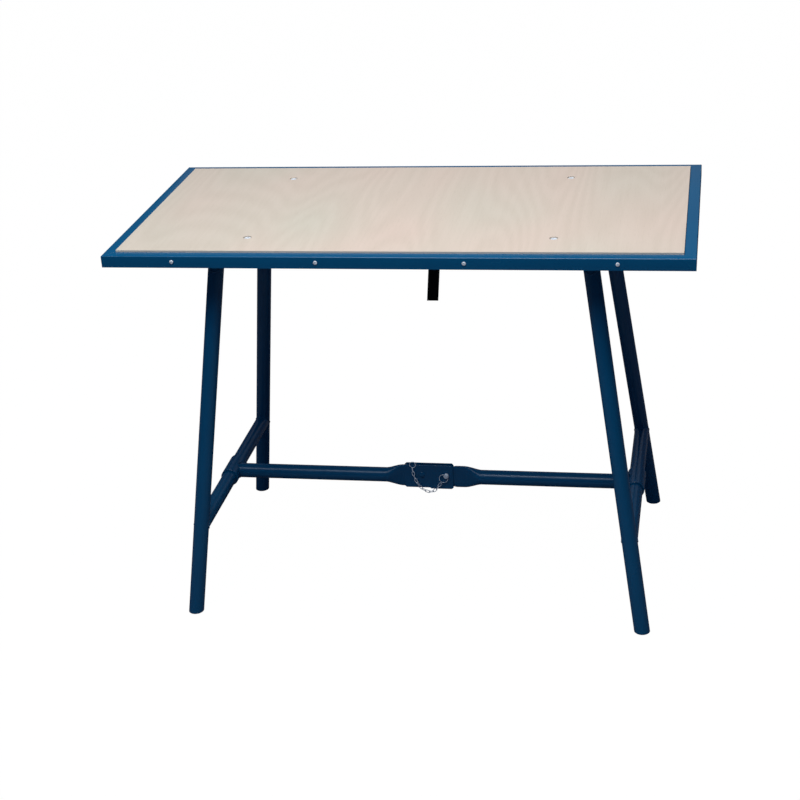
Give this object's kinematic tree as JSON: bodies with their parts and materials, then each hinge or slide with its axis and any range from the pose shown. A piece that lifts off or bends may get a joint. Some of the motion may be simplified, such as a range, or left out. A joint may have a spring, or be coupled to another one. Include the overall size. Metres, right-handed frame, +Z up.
{
  "type": "folding workbench",
  "caption": "Folding workbench with a steel-rimmed plywood top on two splayed tube frames, tied by a pinned two-part stretcher.",
  "frame": {"origin": "on the floor under the middle of the top", "axes": "+X along the top to the right, +Y to the back, +Z up"},
  "size_m": [1.2, 0.624, 0.8537],
  "materials": {
    "frame_paint": "dark blue gloss paint on steel",
    "plywood": "sealed birch plywood",
    "zinc": "bright zinc plate",
    "webbing": "black woven webbing",
    "black_plastic": "moulded black plastic"
  },
  "bodies": {
    "top": {"board": "plywood", "rim_front": "frame_paint", "rim_back": "frame_paint", "rim_left": "frame_paint", "rim_right": "frame_paint", "rim_screw_front_1": "zinc", "rim_screw_front_2": "zinc", "rim_screw_front_3": "zinc", "rim_screw_front_4": "zinc", "rim_screw_back_1": "zinc", "rim_screw_back_2": "zinc", "rim_screw_back_3": "zinc", "rim_screw_back_4": "zinc", "board_bolt_left_front": "zinc", "bolt_nut_left_front": "zinc", "hinge_bracket_left_front": "frame_paint", "board_bolt_left_back": "zinc", "bolt_nut_left_back": "zinc", "hinge_bracket_left_back": "frame_paint", "board_bolt_right_front": "zinc", "bolt_nut_right_front": "zinc", "hinge_bracket_right_front": "frame_paint", "board_bolt_right_back": "zinc", "bolt_nut_right_back": "zinc", "hinge_bracket_right_back": "frame_paint", "strap": "webbing", "strap_screw": "zinc"},
    "left_frame": {"left_pivot_tube": "frame_paint", "left_leg_front": "frame_paint", "left_leg_back": "frame_paint", "left_crossbar": "frame_paint", "left_foot_plug_front": "black_plastic", "left_foot_plug_back": "black_plastic"},
    "right_frame": {"right_pivot_tube": "frame_paint", "right_leg_front": "frame_paint", "right_leg_back": "frame_paint", "right_crossbar": "frame_paint", "right_foot_plug_front": "black_plastic", "right_foot_plug_back": "black_plastic"},
    "left_half": {"left_sleeve": "frame_paint", "left_stretcher": "frame_paint", "knuckle_plate_front": "frame_paint", "knuckle_plate_back": "frame_paint", "knuckle_rivet": "frame_paint", "pin_chain": "zinc", "chain_eye": "zinc"},
    "right_half": {"right_sleeve": "frame_paint", "right_stretcher": "frame_paint"},
    "lock_pin": {"lock_pin": "zinc", "split_ring": "zinc"}
  },
  "joints": [
    {"name": "left_leg_fold", "type": "hinge", "parent": "top", "child": "left_frame", "pos_m": [-0.39, 0, 0.8], "axis": [0, -1, 0], "range_deg": [0, 86]},
    {"name": "right_leg_fold", "type": "hinge", "parent": "top", "child": "right_frame", "pos_m": [0.39, 0, 0.8], "axis": [0, 1, 0], "range_deg": [0, 97.6]},
    {"name": "left_stretcher_swing", "type": "hinge", "parent": "left_frame", "child": "left_half", "pos_m": [-0.46958, 0, 0.205], "axis": [0, -1, 0], "range_deg": [0, 150.5]},
    {"name": "right_stretcher_swing", "type": "hinge", "parent": "right_frame", "child": "right_half", "pos_m": [0.46958, 0, 0.205], "axis": [0, 1, 0], "range_deg": [0, 172.9]},
    {"name": "pin_pull", "type": "slide", "parent": "left_half", "child": "lock_pin", "axis": [0, -1, 0], "range_m": [0, 0.03]}
  ],
  "couplings": [
    {"joint": "left_stretcher_swing", "follows": "left_leg_fold", "ratio": 1.7442},
    {"joint": "right_stretcher_swing", "follows": "right_leg_fold", "ratio": 1.7664}
  ]
}
